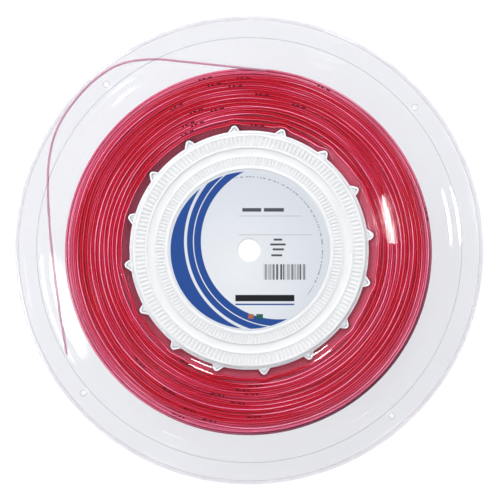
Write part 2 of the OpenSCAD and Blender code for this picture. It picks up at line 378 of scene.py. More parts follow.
# %% [markdown]
# The string is a solid crimson copolyester monofilament: drawn smooth, glossy, and clear enough to
# glow where a single strand stands against the light; the lone strand's paler colour partly paints
# that glow. One recipe makes all its finishes. The visible turns shine, with a painted highlight
# along each crown, and the outermost ones have painted shade at the lower right. Those they press
# on are dull, the buried ones lie in shade that their dusky colour partly paints, and the single
# loose end is seen through.

# %% Crimson copolyester
MARK_LENGTH = 8 * MM
THIN_EDGE = 5 * MM
SHADE_DEPTH = 2 * MM  # the height over which the shade sets in


def string_material(name, base, rosy, thin, see_through=0.0, gloss=1.0, shade=(0.0, 0.0, 0.0)):
    """Crimson string. gloss also sets its painted highlight on the crowns; shade is its painted
    shade: how dark it gets, towards which side, and from which height on.
    """
    material, tree = new_material(name)
    calc = partial(maths, tree)
    place, axes, across, from_axis = reel_place(tree)
    # Turns differ a little: some are deep crimson, some milkier and rosy.
    turn_tone = add(tree, "ShaderNodeAttribute", {"attribute_name": "turn_tone"})
    milkiness = ramp(tree, turn_tone.outputs["Fac"], 0.46, 0.6)
    tone = blend(tree, milkiness, colour(base), colour(rosy))
    # Towards the winding's edge fewer turns lie over each other, and the colour is painted paler
    # there for the light that comes through them.
    edge = ramp(tree, from_axis, TURN_R - THIN_EDGE, TURN_R)
    tone = blend(tree, edge, tone, colour(thin))
    # Painted highlight: a fine pale line along each turn's crown, standing in for the glint of light
    # on it. It is fainter on the deep crimson turns and stronger on the milkier ones.
    outwards = add(tree, "ShaderNodeVectorMath", {"operation": "NORMALIZE"}, i0=across).outputs[0]
    normal = add(tree, "ShaderNodeNewGeometry").outputs["Normal"]
    off_crown = calc("ABSOLUTE", dot(tree, normal, outwards))
    crown_highlight = ramp(tree, off_crown, 0.1, 0.38, 1.0, 0.0)
    highlight_strength = ramp(tree, noise(tree, place, 22.0, 1.0), 0.38, 0.62, 0.3 * gloss, 0.9 * gloss)
    milky_share = ramp(tree, milkiness, 0.0, 1.0, 0.3, 1.4)
    line = calc("MULTIPLY", crown_highlight, calc("MULTIPLY", highlight_strength, milky_share))
    tone = blend(tree, line, tone, colour("#FFB8CA"))
    # The maker's ink marks: a short run of dark dashes on the upper side of each turn.
    run = add(tree, "ShaderNodeAttribute", {"attribute_name": "from_mark"}).outputs["Fac"]
    up = parts(tree, normal)["Z"]
    on_mark = calc(
        "MULTIPLY", calc("GREATER_THAN", run, 0.001 * MM), calc("LESS_THAN", run, MARK_LENGTH),
    )
    on_dash = calc(
        "MULTIPLY", calc("GREATER_THAN", line_noise(tree, run, 900.0, 1.0), 0.48),
        calc("GREATER_THAN", up, 0.72),
    )
    tone = blend(tree, calc("MULTIPLY", on_mark, on_dash), tone, colour("#440814"))
    # Painted shade: some string is darkened towards one side, from a given height on, where it lies
    # in the reel's own shade.
    darkest, shade_angle, shade_height = shade
    towards_shade = dot(tree, outwards, (math.cos(shade_angle), math.sin(shade_angle), 0))
    on_side = ramp(tree, towards_shade, 0.2, 1.0, at_end=darkest)
    at_height = ramp(tree, axes["Z"], shade_height, shade_height + SHADE_DEPTH)
    painted_shade_share = calc("MULTIPLY", on_side, at_height)
    tone = blend(tree, painted_shade_share, tone, colour("#582C3E"))
    body = add(
        tree, "ShaderNodeBsdfPrincipled", Base_Color=tone, Roughness=0.55 - 0.37 * gloss, IOR=1.57,
        Transmission_Weight=see_through, Specular_IOR_Level=0.1, Coat_Weight=0.3 * gloss,
        Coat_Roughness=0.06, Subsurface_Weight=0.35 * (1 - see_through),
        Subsurface_Radius=(1.0, 0.15, 0.25), Subsurface_Scale=0.9 * MM,
    )
    surface(tree, body)
    return material


wound_string = string_material("crimson_copolyester_wound", "#BC0026", "#D03460", "#D05C7C")
# The outermost turns get painted shade towards the lower right.
outermost_string = string_material(
    "crimson_copolyester_outermost", "#BC0026", "#D03460", "#D05C7C",
    shade=(0.95, math.radians(-50), MIDDLE + 7 * MM),
)
inner_string = string_material(
    "crimson_copolyester_pressed", "#BC0026", "#C82850", "#D05C7C", gloss=0.1,
)
# The buried turns' dusky colour is painted shade, darker still towards the upper left.
shaded_string = string_material(
    "crimson_copolyester_in_shade", "#CC5A70", "#CC5A70", "#CE5474", gloss=0.1,
    shade=(0.5, math.radians(145), MIDDLE),
)
# The lone strand's paler colour is painted light, for light coming through it; its transmission is
# real.
single_string = string_material(
    "crimson_copolyester_single", "#DCA4BC", "#DCA4BC", "#DCA4BC", see_through=0.4, gloss=0.5,
)
loose_end.data.materials.append(single_string)

# %% [markdown]
# The winding is what the eye goes to. At each flange the turns lie like the groove of a record: a
# proud strand every second layer, with the strand between sunk half its width, all wandering a
# little where one turn climbed over another. One Geometry Nodes tree draws such a strand as a
# single unbroken spiral. The outermost layer is the same tree, wound along the axis as a helix.

# %% A tree for one wound strand
NUB_CROWN = math.radians(0.3)  # how far to each side a nub holds the strand up
DIP_END = math.radians(4.8)  # how far off a nub the strand has sagged
SLACK_START_R = 0.8 * TURN_R
FIRST_SINK = 12.0  # how deep a row's first turn starts, in wanders in height


def new_tree(name, floats, others):
    """An empty Geometry Nodes tree with named inputs, and those inputs."""
    tree = bpy.data.node_groups.new(name, "GeometryNodeTree")
    face = tree.interface
    face.new_socket("Geometry", in_out="OUTPUT", socket_type="NodeSocketGeometry")
    for title in floats:
        face.new_socket(title, in_out="INPUT", socket_type="NodeSocketFloat")
    for title in others:
        face.new_socket(title, in_out="INPUT", socket_type="NodeSocket" + others[title])
    print("tree", name, "with", len(floats) + len(others), "inputs")
    return tree, tree.nodes.new("NodeGroupInput").outputs


def close_tree(tree, geometry, material):
    """Real geometry with its material is what comes out of a tree."""
    real = add(tree, "GeometryNodeRealizeInstances", Geometry=geometry.outputs[0])
    coated = add(tree, "GeometryNodeSetMaterial", Geometry=real.outputs[0], Material=material)
    add(tree, "NodeGroupOutput", i0=coated.outputs[0])


def seeded_noise(tree, place, seed, scale):
    """Noise in space that a seed changes."""
    return add(
        tree, "ShaderNodeTexNoise", {"noise_dimensions": "4D"}, Vector=place, W=seed, Scale=scale,
        Detail=1.0,
    ).outputs


def keep(tree, geometry, name, value):
    """Geometry with a value kept on each point, under a name that a material reads."""
    return add(
        tree, "GeometryNodeStoreNamedAttribute", {"data_type": "FLOAT", "domain": "POINT"},
        Geometry=geometry.outputs[0], Name=name, Value=value,
    )


def wound_strand_tree():
    """Geometry Nodes: one unbroken strand, wound round Z as a spiral or a helix."""
    tree, given = new_tree("wound_strand", [
        "Turns", "Steps per turn", "First radius", "Radius per turn", "First height",
        "Height per turn", "First angle", "Wander", "Wander in height", "Side", "Shoulder radius",
        "Shoulder drop", "End radius", "Nub step", "Nub angle", "Sag", "Sag fades over", "Taut angle",
        "Strand diameter", "Mark angle", "Seed", "Tone seed", "Slack", "Slack angle",
    ], {"Material": "Material"})
    calc = partial(maths, tree)
    plus = partial(calc, "ADD")
    minus = partial(calc, "SUBTRACT")
    times = partial(calc, "MULTIPLY")
    count = times(given["Turns"], given["Steps per turn"])
    line = add(tree, "GeometryNodeMeshLine", Count=plus(count, 1.0))
    step = add(tree, "GeometryNodeInputIndex").outputs[0]
    turn = calc("DIVIDE", step, given["Steps per turn"])
    angle = calc("MULTIPLY_ADD", turn, 2 * math.pi, given["First angle"])
    cosine = calc("COSINE", angle)
    sine = calc("SINE", angle)
    round_place = vector(tree, times(cosine, 1.3), times(sine, 1.3), times(turn, 0.55))
    ways = parts(tree, seeded_noise(tree, round_place, given["Seed"], 1.2)["Color"])
    sway = times(minus(ways[0], 0.5), given["Wander"])
    settled = times(sway, calc("MINIMUM", times(turn, 0.5), 1.0))
    spiral = calc("MULTIPLY_ADD", turn, given["Radius per turn"], given["First radius"])
    # The last turn lies against the outer layer, so it stops growing there.
    limit = minus(given["End radius"], given["Strand diameter"])
    even = calc("MINIMUM", plus(spiral, settled), limit)
    # The first turns ride over the nubs and sag between them. On one side they are pulled taut.
    in_step = calc("FLOORED_MODULO", minus(angle, given["Nub angle"]), given["Nub step"])
    half_step = times(given["Nub step"], 0.5)
    off_nub = minus(half_step, calc("ABSOLUTE", minus(in_step, half_step)))
    dip = ramp(tree, off_nub, NUB_CROWN, DIP_END, smooth=True)
    from_first = minus(even, given["First radius"])
    fading = ramp(tree, from_first, 0.0, given["Sag fades over"], 1.0, 0.0)
    to_taut = calc("COSINE", minus(angle, given["Taut angle"]))
    taut = ramp(tree, to_taut, 0.55, 0.9, 1.0, 0.3, smooth=True)
    pull = times(times(dip, fading), taut)
    sagged = minus(even, times(pull, given["Sag"]))
    # The outer turns are slack, and stand off on the side where the reel was last set down.
    loosening = ramp(tree, even, SLACK_START_R, TURN_R)
    to_slack = calc("COSINE", minus(angle, given["Slack angle"]))
    hanging = calc("MULTIPLY_ADD", to_slack, 0.5, 0.5)
    slack = times(times(hanging, loosening), given["Slack"])
    radius = plus(sagged, slack)
    past = minus(radius, given["Shoulder radius"])
    room = minus(given["End radius"], given["Shoulder radius"])
    share = calc("DIVIDE", past, room, clamp=True)
    fall = times(calc("POWER", share, 2.0), given["Shoulder drop"])
    # The first turn of a row comes up from between those below it.
    rise = ramp(tree, turn, 0.0, 0.1, FIRST_SINK, 0.0, smooth=True)
    sink = calc("MULTIPLY_ADD", plus(ways[1], rise), given["Wander in height"], fall)
    level = calc("MULTIPLY_ADD", turn, given["Height per turn"], given["First height"])
    height = minus(level, times(sink, given["Side"]))
    place = vector(tree, times(cosine, radius), times(sine, radius), height)
    moved = add(tree, "GeometryNodeSetPosition", Geometry=line.outputs[0], Position=place)
    path = add(tree, "GeometryNodeMeshToCurve", Mesh=moved.outputs[0])
    # How far each point is along its turn from where the maker's ink mark starts.
    whole = calc("FLOOR", calc("DIVIDE", angle, 2 * math.pi))
    jitter = calc("FRACT", times(calc("SINE", plus(whole, given["Seed"])), 91.7))
    start = plus(calc("MULTIPLY_ADD", whole, 2 * math.pi, given["Mark angle"]), jitter)
    marked = keep(tree, path, "from_mark", times(minus(angle, start), radius))
    # A tone of its own for each turn, which drifts along it.
    tone_place = vector(tree, cosine, sine, calc("MULTIPLY_ADD", turn, 2.3, 5.0))
    tone = seeded_noise(tree, tone_place, given["Tone seed"], 1.0)["Fac"]
    toned = keep(tree, marked, "turn_tone", tone)
    section = add(
        tree, "GeometryNodeCurvePrimitiveCircle", Resolution=8,
        Radius=times(given["Strand diameter"], 0.5),
    )
    strand = add(
        tree, "GeometryNodeCurveToMesh", Curve=toned.outputs[0],
        Profile_Curve=section.outputs[0], Fill_Caps=True,
    )
    smooth = add(tree, "GeometryNodeSetShadeSmooth", Geometry=strand.outputs[0])
    close_tree(tree, smooth, given["Material"])
    return tree


def grow(name, tree, values):
    """Runs a Geometry Nodes tree with these inputs and keeps its result as a plain mesh."""
    source = put(name + "_source", bpy.data.meshes.new(name + "_source"))
    modifier = source.modifiers.new("grow", "NODES")
    modifier.node_group = tree
    for item in tree.interface.items_tree:
        if item.in_out == "INPUT" and item.name in values:
            modifier[item.identifier] = values[item.name]
    mesh = plain_mesh(source, name)
    bpy.data.objects.remove(source)
    print(name, len(mesh.polygons), "faces")
    return put(name, mesh)


strand_tree = wound_strand_tree()

# %% [markdown]
# Three rows of turns at each flange fill every gap that can be seen into. The first turns ride
# over the nubs and sag between them, and the outer layers fall away from the flange in a soft
# shoulder.

# %% Wind the string
INNER_R = 72.4 * MM + STRING_D / 2
FACE_HEIGHT = 10.65 * MM - STRING_D / 2
LAYER_PAIR = 2.36 * MM
NUB_COUNT = 16
NUB_ANGLE = math.radians(7)
FACE_END_R = TURN_R - STRING_D
STRAND = {
    "Nub step": 2 * math.pi / NUB_COUNT, "Nub angle": NUB_ANGLE, "Sag fades over": 4.0 * MM,
    "Taut angle": math.radians(145), "Strand diameter": STRING_D, "Slack": 2.1 * MM,
    "Slack angle": math.radians(245),
}
# Each row has its offset in layer pairs, its depth in strands, where its ink marks start and its
# finish.
ROWS = {
    "proud": (0.0, 0.0, math.radians(60), wound_string),
    "sunk": (0.5, 0.2, math.radians(215), inner_string),
    "buried": (0.25, 0.5, math.radians(70), inner_string),
}

for side_name, side in (("front", 1), ("rear", -1)):
    for number, (row_name, (offset, depth, mark_angle, finish)) in enumerate(ROWS.items()):
        row = grow(f"{side_name}_turns_{row_name}", strand_tree, {
            **STRAND, "Turns": (FACE_END_R - INNER_R) / LAYER_PAIR - offset + 1,
            "Steps per turn": 192.0, "First radius": INNER_R + offset * LAYER_PAIR,
            "Radius per turn": LAYER_PAIR, "Height per turn": 0.0, "First angle": 0.6 * side,
            "First height": MIDDLE + side * (FACE_HEIGHT - depth * STRING_D), "Wander": 2.6 * MM,
            "Wander in height": 0.4 * MM, "Side": float(side), "Shoulder radius": TURN_R - 8 * MM,
            "Shoulder drop": 0.7 * MM, "End radius": TURN_R, "Sag": 1.7 * MM,
            "Mark angle": mark_angle, "Seed": 13.0 + 10 * side, "Tone seed": float(number),
            "Material": finish,
        })
        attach(row, "root")
        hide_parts("string_core")

OUTER_PITCH = 1.32 * MM
OUTER_TURNS = 15
outer_layer = grow("outer_turns", strand_tree, {
    **STRAND, "Turns": float(OUTER_TURNS), "Steps per turn": 160.0, "First radius": TURN_R,
    "Radius per turn": 0.0, "First height": MIDDLE + LEAVE_HEIGHT - OUTER_TURNS * OUTER_PITCH,
    "Height per turn": OUTER_PITCH, "First angle": LEAVE_ANGLE - OUTER_TURNS * 2 * math.pi,
    "Wander": 0.0, "Wander in height": 0.0, "Side": 1.0, "Shoulder radius": TURN_R,
    "Shoulder drop": 0.0, "End radius": 2 * TURN_R, "Sag": 0.0, "Mark angle": 0.0, "Seed": 1.0,
    "Tone seed": 1.0, "Material": outermost_string,
})
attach(outer_layer, "root")
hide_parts("string_outer_turns")

# %% [markdown]
# Round moulded parts are turned sections. A sharp corner catches no light, and no mould has one,
# so each corner of a section is first replaced by a small arc of its own radius.

# %% Helpers for turned parts
SEGMENTS = 256
GUARD = 0.3 * MM


def rounded(corners, steps=4):
    """A closed outline through corners of (radius, height, rounding), with an arc at each corner."""
    outline = []
    count = len(corners)
    for i, (r, h, rounding) in enumerate(corners):
        here = Vector((r, h))
        before = Vector(corners[i - 1][:2]) - here
        after = Vector(corners[(i + 1) % count][:2]) - here
        turn = before.angle(after)
        reach = min(rounding / math.tan(turn / 2), before.length * 0.48, after.length * 0.48)
        if reach < 1e-4 * MM:
            outline.append(here)
            continue
        start = here + before.normalized() * reach
        end = here + after.normalized() * reach
        arc_radius = reach * math.tan(turn / 2)
        inwards = (before.normalized() + after.normalized()).normalized()
        centre = here + inwards * (arc_radius / math.sin(turn / 2))
        first = start - centre
        sweep = first.angle_signed(end - centre)
        # A point just off each end of the arc keeps the flats beside it flat in their shading.
        guards = [
            min(GUARD, 0.9 * (leg.length / 2 - reach)) * leg.normalized() for leg in (before, after)
        ]
        outline.append(start + guards[0])
        for k in range(steps + 1):
            a = -sweep * k / steps
            outline.append(centre + Vector((
                first.x * math.cos(a) - first.y * math.sin(a),
                first.x * math.sin(a) + first.y * math.cos(a),
            )))
        outline.append(end + guards[1])
    return outline


def turned(name, outline, segments, material, side=1):
    """A closed outline of (radius, height above the middle plane) turned about Z.
    side is 1 for the front half and -1 for its mirror image at the rear."""
    vertices, faces = [], []
    size = len(outline)
    for s in range(segments):
        a = 2 * math.pi * s / segments
        vertices += [(p.x * math.cos(a), p.x * math.sin(a), MIDDLE + side * p.y) for p in outline]
    for s in range(segments):
        for i in range(size):
            j, t = (i + 1) % size, (s + 1) % segments
            faces.append((s * size + i, s * size + j, t * size + j, t * size + i))
    mesh = bpy.data.meshes.new(name)
    mesh.from_pydata(vertices, [], faces)
    shell = bmesh.new()
    shell.from_mesh(mesh)
    bmesh.ops.recalc_face_normals(shell, faces=shell.faces)
    shell.to_mesh(mesh)
    shell.free()
    mesh.shade_smooth()
    mesh.materials.append(material)
    print(name, len(faces), "faces")
    return put(name, mesh)


# %% [markdown]
# Behind the visible rows, the buried turns need no detail: a plain ring stands for them. It reaches
# in between the nubs, where it lies deep in shade, and its dusky colour paints more shade on it.

# %% Buried turns
BURIED_DEPTH = 1.3 * MM
BURIED_SLOPE = 1.5 * MM
BURIED_END_R = FACE_END_R + 0.5 * MM
STEPS_PER_NUB = 24
DRUM_R = 68.3 * MM
NUB_TIP_R = 2.2 * MM
NUB_CENTRE_R = 69.8 * MM
NUB_FLANK = 1.6 * MM
NUB_HALF_ANGLE = math.radians(4.3)
FIT = 0.35 * MM
buried_half = FACE_HEIGHT - BURIED_DEPTH
shade_half = buried_half - 3 * MM
buried = turned("buried_turns", rounded([
    (INNER_R, -shade_half, 0), (INNER_R + BURIED_SLOPE, -buried_half, 0),
    (BURIED_END_R, -buried_half, 1.5 * MM), (BURIED_END_R, buried_half, 1.5 * MM),
    (INNER_R + BURIED_SLOPE, buried_half, 0), (INNER_R, shade_half, 0),
]), STEPS_PER_NUB * NUB_COUNT, shaded_string)


def beside_nub(off_nub):
    """The radius that just clears the drum and a nub, at an angle from the nub's middle."""
    across = NUB_CENTRE_R * math.sin(off_nub)
    flank = DRUM_R + FIT + NUB_FLANK * (1 - off_nub / NUB_HALF_ANGLE)
    tip = 0
    if across < NUB_TIP_R + FIT:
        tip = NUB_CENTRE_R * math.cos(off_nub) + math.sqrt((NUB_TIP_R + FIT) ** 2 - across**2)
    return max(DRUM_R + FIT, flank, tip)


nub_step = 2 * math.pi / NUB_COUNT
for vertex in buried.data.vertices:
    radius = math.hypot(vertex.co.x, vertex.co.y)
    if radius < INNER_R + 0.1 * MM:
        off_nub = (math.atan2(vertex.co.y, vertex.co.x) - NUB_ANGLE) % nub_step
        reach = beside_nub(min(off_nub, nub_step - off_nub)) / radius
        vertex.co.x *= reach
        vertex.co.y *= reach
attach(buried, "root")
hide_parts("string_core")

# %% [markdown]
# A flange is one thin clear moulding: a flat seat round the hub, a wide web, a rim band and a lip
# turned down towards its twin. It rises from seat to web and from web to rim by pairs of small
# soft steps, which are what draws the fine bright arcs on it. Four small holes in the rim band park
# the string's end. The holes and the key notches are cut with a Boolean, as a drill and a punch
# would.

# %% Flanges
WALL = 1.2 * MM
BORE_R = 63.5 * MM
SEAT_R = 70 * MM
WEB_R = 74.5 * MM
SLOPE_R = 115 * MM
RIM_R = 122 * MM
RIM_TOP = MIDDLE
WEB_TOP = RIM_TOP - 0.8 * MM
SEAT_TOP = WEB_TOP - 0.6 * MM
LIP_END = 0.5 * MM
KEY_ANGLE = math.radians(15)
KEY_SIZE = (5.4 * MM, 2.7 * MM)
TOOL_DEPTH = 8 * MM


def steps_up(start_r, start_h, end_r, end_h, rounding):
    """Corners of two small steps with a flat between them, from one flat to the next."""
    run, rise = (end_r - start_r) / 4, (end_h - start_h) / 2
    return [
        (start_r, start_h, rounding), (start_r + run, start_h + rise, rounding),
        (end_r - run, start_h + rise, rounding), (end_r, end_h, rounding),
    ]


def flange_outline():
    """The section of a flange, one thin wall from the bore to the end of the lip."""
    small, inner, soft = 0.25 * MM, 0.8 * MM, 1.5 * MM
    risers = steps_up(SEAT_R, SEAT_TOP, WEB_R, WEB_TOP, soft)
    risers += steps_up(SLOPE_R, WEB_TOP, RIM_R, RIM_TOP, soft)
    return rounded([
        (BORE_R, SEAT_TOP, small), *risers, (CASE_R, RIM_TOP, 2 * MM), (CASE_R, LIP_END, small),
        (CASE_R - WALL, LIP_END, small), (CASE_R - WALL, RIM_TOP - WALL, inner),
        *[(r, h - WALL, rounding) for r, h, rounding in reversed(risers)],
        (BORE_R, SEAT_TOP - WALL, small),
    ])


def flange_cutter(side):
    """Drills for the four end holes and punches for the four key notches, as one mesh."""
    tools = bmesh.new()
    for k in range(4):
        a = END_HOLE_ANGLE + k * math.pi / 2
        drill = bmesh.ops.create_cone(
            tools, cap_ends=True, segments=32, radius1=END_HOLE_D / 2, radius2=END_HOLE_D / 2,
            depth=TOOL_DEPTH,
        )["verts"]
        bmesh.ops.translate(tools, verts=drill, vec=(
            END_HOLE_R * math.cos(a), END_HOLE_R * math.sin(a), MIDDLE + side * RIM_TOP,
        ))
        b = KEY_ANGLE + k * math.pi / 2
        punch = bmesh.ops.create_cube(tools, size=1)["verts"]
        for vertex in punch:
            x = BORE_R + vertex.co.x * KEY_SIZE[1]
            y = vertex.co.y * KEY_SIZE[0]
            vertex.co = (
                x * math.cos(b) - y * math.sin(b), x * math.sin(b) + y * math.cos(b),
                MIDDLE + side * SEAT_TOP + vertex.co.z * TOOL_DEPTH,
            )
    mesh = bpy.data.meshes.new("flange_cutter")
    tools.to_mesh(mesh)
    tools.free()
    return put("flange_cutter", mesh)


def apply_modifiers(piece):
    """Turns a piece's modifiers into plain mesh."""
    mesh = plain_mesh(piece, piece.data.name)
    piece.modifiers.clear()
    piece.data = mesh


for name, side in (("front_flange", 1), ("rear_flange", -1)):
    flange = turned(name + "_clear", flange_outline(), SEGMENTS, clear_plastic, side)
    cutter = flange_cutter(side)
    cut = flange.modifiers.new("holes", "BOOLEAN")
    cut.object = cutter
    cut.operation = "DIFFERENCE"
    cut.solver = "EXACT"
    apply_modifiers(flange)
    bpy.data.objects.remove(cutter)
    flange.data.set_sharp_from_angle(angle=math.radians(35))
    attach(flange, "root")
    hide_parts(name)
    print(flange.name, "cut", len(flange.data.polygons), "faces")

# %% [markdown]
# The hub's drum and caps keep the construction's own shapes, hooks and all. A copy of each is
# welded into clean faces, and a narrow bevel gives every edge the small radius of a moulding. A
# rounded bead runs round each end of the drum's wall, just under the flange's seat.

# %% Hub mouldings
MOULD_EDGE = 0.12 * MM


def softened(node, name, material):
    """A copy of a CAD node with welded faces and bevelled edges."""
    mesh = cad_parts[node].data.copy()
    shell = bmesh.new()
    shell.from_mesh(mesh)
    bmesh.ops.remove_doubles(shell, verts=shell.verts, dist=0.002 * MM)
    bmesh.ops.dissolve_limit(
        shell, angle_limit=math.radians(0.6), verts=shell.verts, edges=shell.edges, delimit=set(),
    )
    shell.to_mesh(mesh)
    shell.free()
    mesh.name = name
    mesh.materials.clear()
    mesh.materials.append(material)
    piece = put(name, mesh)
    bevel = piece.modifiers.new("edges", "BEVEL")
    bevel.width = MOULD_EDGE
    bevel.segments = 2
    bevel.limit_method = "ANGLE"
    bevel.angle_limit = math.radians(40)
    apply_modifiers(piece)
    piece.data.shade_smooth()
    piece.data.set_sharp_from_angle(angle=math.radians(30))
    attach(piece, "root")
    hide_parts(node)
    print(name, len(piece.data.polygons), "faces")


BEAD_IN, BEAD_OUT = 66.4 * MM, 68.7 * MM
bead_top = SEAT_TOP - WALL - 0.05 * MM
bead_foot = bead_top - 1.6 * MM
for side_name, side in (("front", 1), ("rear", -1)):
    bead = turned(side_name + "_drum_bead", rounded([
        (BEAD_IN, bead_foot, 0.1 * MM), (BEAD_OUT - 0.6 * MM, bead_foot, 0.1 * MM),
        (BEAD_OUT, bead_top - 0.8 * MM, 0.4 * MM), (BEAD_OUT, bead_top, 0.4 * MM),
        (BEAD_IN, bead_top, 0.1 * MM),
    ]), SEGMENTS, drum_plastic, side)
    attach(bead, "root")

softened("hub_drum", "hub_drum_nubbed", drum_plastic)
softened("front_cap", "front_cap_moulded", hub_plastic)
softened("rear_cap", "rear_cap_moulded", hub_plastic)

# %% [markdown]
# The caps' two bands are finely ribbed all round, ten ribs to each nub, so that a thumb can turn
# the hub. A rib is a small rounded bar with a few dozen faces, placed on a circle of points.

# %% Fine ribs


def rib_object():
    """One rib: a bar one unit long, wide and high, with rounded top edges."""
    bar = bmesh.new()
    bmesh.ops.create_cube(bar, size=1)
    top = [e for e in bar.edges if all(v.co.z > 0 for v in e.verts)]
    bmesh.ops.bevel(bar, geom=top, offset=0.3, segments=2, profile=0.6, affect="EDGES")
    mesh = bpy.data.meshes.new("rib")
    bar.to_mesh(mesh)
    bar.free()
    return bpy.data.objects.new("rib", mesh)


def ring_of_ribs_tree():
    """Geometry Nodes: an object repeated round Z, its X outwards."""
    tree, given = new_tree("ring_of_ribs", [
        "Count", "Middle radius", "Length", "Width", "Rib height", "Height", "First angle",
    ], {"Rib": "Object", "Material": "Material"})
    calc = partial(maths, tree)
    spots = add(tree, "GeometryNodePoints", Count=given["Count"])
    number = add(tree, "GeometryNodeInputIndex").outputs[0]
    share = calc("DIVIDE", number, given["Count"])
    angle = calc("MULTIPLY_ADD", share, 2 * math.pi, given["First angle"])
    x = calc("MULTIPLY", calc("COSINE", angle), given["Middle radius"])
    y = calc("MULTIPLY", calc("SINE", angle), given["Middle radius"])
    place = vector(tree, x, y, given["Height"])
    set_out = add(tree, "GeometryNodeSetPosition", Geometry=spots.outputs[0], Position=place)
    size = vector(tree, given["Length"], given["Width"], given["Rib height"])
    rib = add(tree, "GeometryNodeObjectInfo", Object=given["Rib"])
    copies = add(
        tree, "GeometryNodeInstanceOnPoints", Points=set_out.outputs[0],
        Instance=rib.outputs["Geometry"], Rotation=vector(tree, z=angle), Scale=size,
    )
    close_tree(tree, copies, given["Material"])
    return tree


CAP_TOP = SEAT_TOP + 1.2 * MM
BAND_TOP = CAP_TOP - 0.3 * MM
RIB_COUNT = 160
RIB_HEIGHT = 0.38 * MM
RIB_ROOT = 0.05 * MM  # what is sunk into the band
BANDS = {"inner": (48.6 * MM, 53.5 * MM), "outer": (59.8 * MM, 65.4 * MM)}
rib = rib_object()
ribs_tree = ring_of_ribs_tree()

for side_name, side in (("front", 1), ("rear", -1)):
    for band_name, (start, end) in BANDS.items():
        middle_r = (start + end) / 2
        pitch = 2 * math.pi * middle_r / RIB_COUNT
        ribs = grow(f"{side_name}_{band_name}_ribs", ribs_tree, {
            "Count": float(RIB_COUNT), "Middle radius": middle_r, "Length": end - start - 0.3 * MM,
            "Width": 0.55 * pitch, "Rib height": side * RIB_HEIGHT,
            "Height": MIDDLE + side * (BAND_TOP + RIB_HEIGHT / 2 - RIB_ROOT),
            "First angle": NUB_ANGLE, "Rib": rib, "Material": hub_plastic,
        })
        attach(ribs, "root")

# %% [markdown]
# The label is a thin printed disc. Its print is generic: a pale blue-grey ground that lightens
# towards its middle, a blue crescent with fine pale arcs, rules, and short bars where a maker
# would set words. All of it is drawn in millimetres from the reel's axis.

# %% Label print
label_print, tree = new_material("printed_label_paper")
calc = partial(maths, tree)
place = object_place(tree)
in_mm = add(tree, "ShaderNodeVectorMath", {"operation": "SCALE"}, i0=place, Scale=1000.0)
X, Y, _ = parts(tree, in_mm.outputs[0])


def distance(x, y):
    """Distance in millimetres from a point of the label."""
    across = calc("POWER", calc("SUBTRACT", X, x), 2.0)
    upwards = calc("POWER", calc("SUBTRACT", Y, y), 2.0)
    return calc("SQRT", calc("ADD", across, upwards))


def below(value, limit, soft=0.15):
    """1 where value is under limit, with an edge as soft as printed ink."""
    return calc("DIVIDE", calc("SUBTRACT", limit, value), soft, clamp=True)


def both(a, b):
    return calc("MULTIPLY", a, b)


def either(a, b):
    return calc("MAXIMUM", a, b)


def between(value, low, high):
    return both(below(low, value), below(value, high))


def bar(x0, y0, x1, y1):
    """A printed bar between two corners."""
    return both(between(X, x0, x1), between(Y, y0, y1))


from_axis = distance(0.0, 0.0)
turned_angle = calc("ARCTAN2", Y, X)

glow = calc("SUBTRACT", 1.0, calc("DIVIDE", distance(-6.0, -12.0), 52.0), clamp=True)
printed = blend(tree, glow, colour("#D3D8E0"), colour("#E6E9ED"))

from_side = distance(17.0, 5.0)
crescent = both(below(44.6, from_side), below(from_axis, 45.2))
arcs = either(between(from_side, 48.6, 49.3), between(from_side, 52.6, 54.4))
printed = blend(tree, both(crescent, calc("SUBTRACT", 1.0, arcs)), printed, colour("#1D4892"))

rules = either(bar(-6.0, 19.4, 30.0, 19.8), bar(-6.0, 8.6, 36.0, 9.0))
printed = blend(tree, rules, printed, colour("#9AA0A8"))

# Short grey bars stand where lines of small words would be.
words = either(bar(-4.0, 22.0, 7.0, 24.2), bar(8.4, 22.0, 20.0, 24.2))
for x0, y0, x1 in ((14.0, 5.4, 19.0), (12.0, 2.6, 21.0), (13.4, -0.2, 20.0), (12.6, -3.6, 19.0)):
    words = either(words, bar(x0, y0, x1, y0 + 1.3))
printed = blend(tree, words, printed, colour("#4A4E55"))

# A block of plain upright bars of uneven width.
stripes = line_noise(tree, X, 0.9, 3.0, roughness=0.8)
block = both(bar(8.0, -17.0, 33.0, -8.0), below(stripes, 0.5, 0.02))
printed = blend(tree, block, printed, colour("#2A2C30"))

# A dark stripe with a thin blue one under it, and two small colour squares.
for ink, corners in (
    ("#15171C", (-8.0, -29.4, 26.0, -25.6)), ("#1D4892", (-8.0, -31.6, 26.0, -30.6)),
    ("#1E5A4A", (4.0, -39.4, 8.0, -36.6)), ("#A8623C", (-0.6, -39.4, 2.6, -36.6)),
):
    printed = blend(tree, bar(*corners), printed, colour(ink))

# A broken fine line follows the edge on the right.
dashes = below(line_noise(tree, turned_angle, 26.0, 2.0), 0.52, 0.03)
edge_line = both(between(from_axis, 41.7, 42.5), between(turned_angle, -0.7, 1.85))
printed = blend(tree, both(edge_line, dashes), printed, colour("#8B9098"))

fibre = noise(tree, place, 2500.0, 2.0)
body = add(
    tree, "ShaderNodeBsdfPrincipled", Base_Color=printed, Roughness=0.42, IOR=1.5,
    Normal=bump(tree, fibre, 0.05, 0.05 * MM),
)
surface(tree, body)

# %% [markdown]
# The label itself is a disc two tenths of a millimetre thick, with softly cut edges.

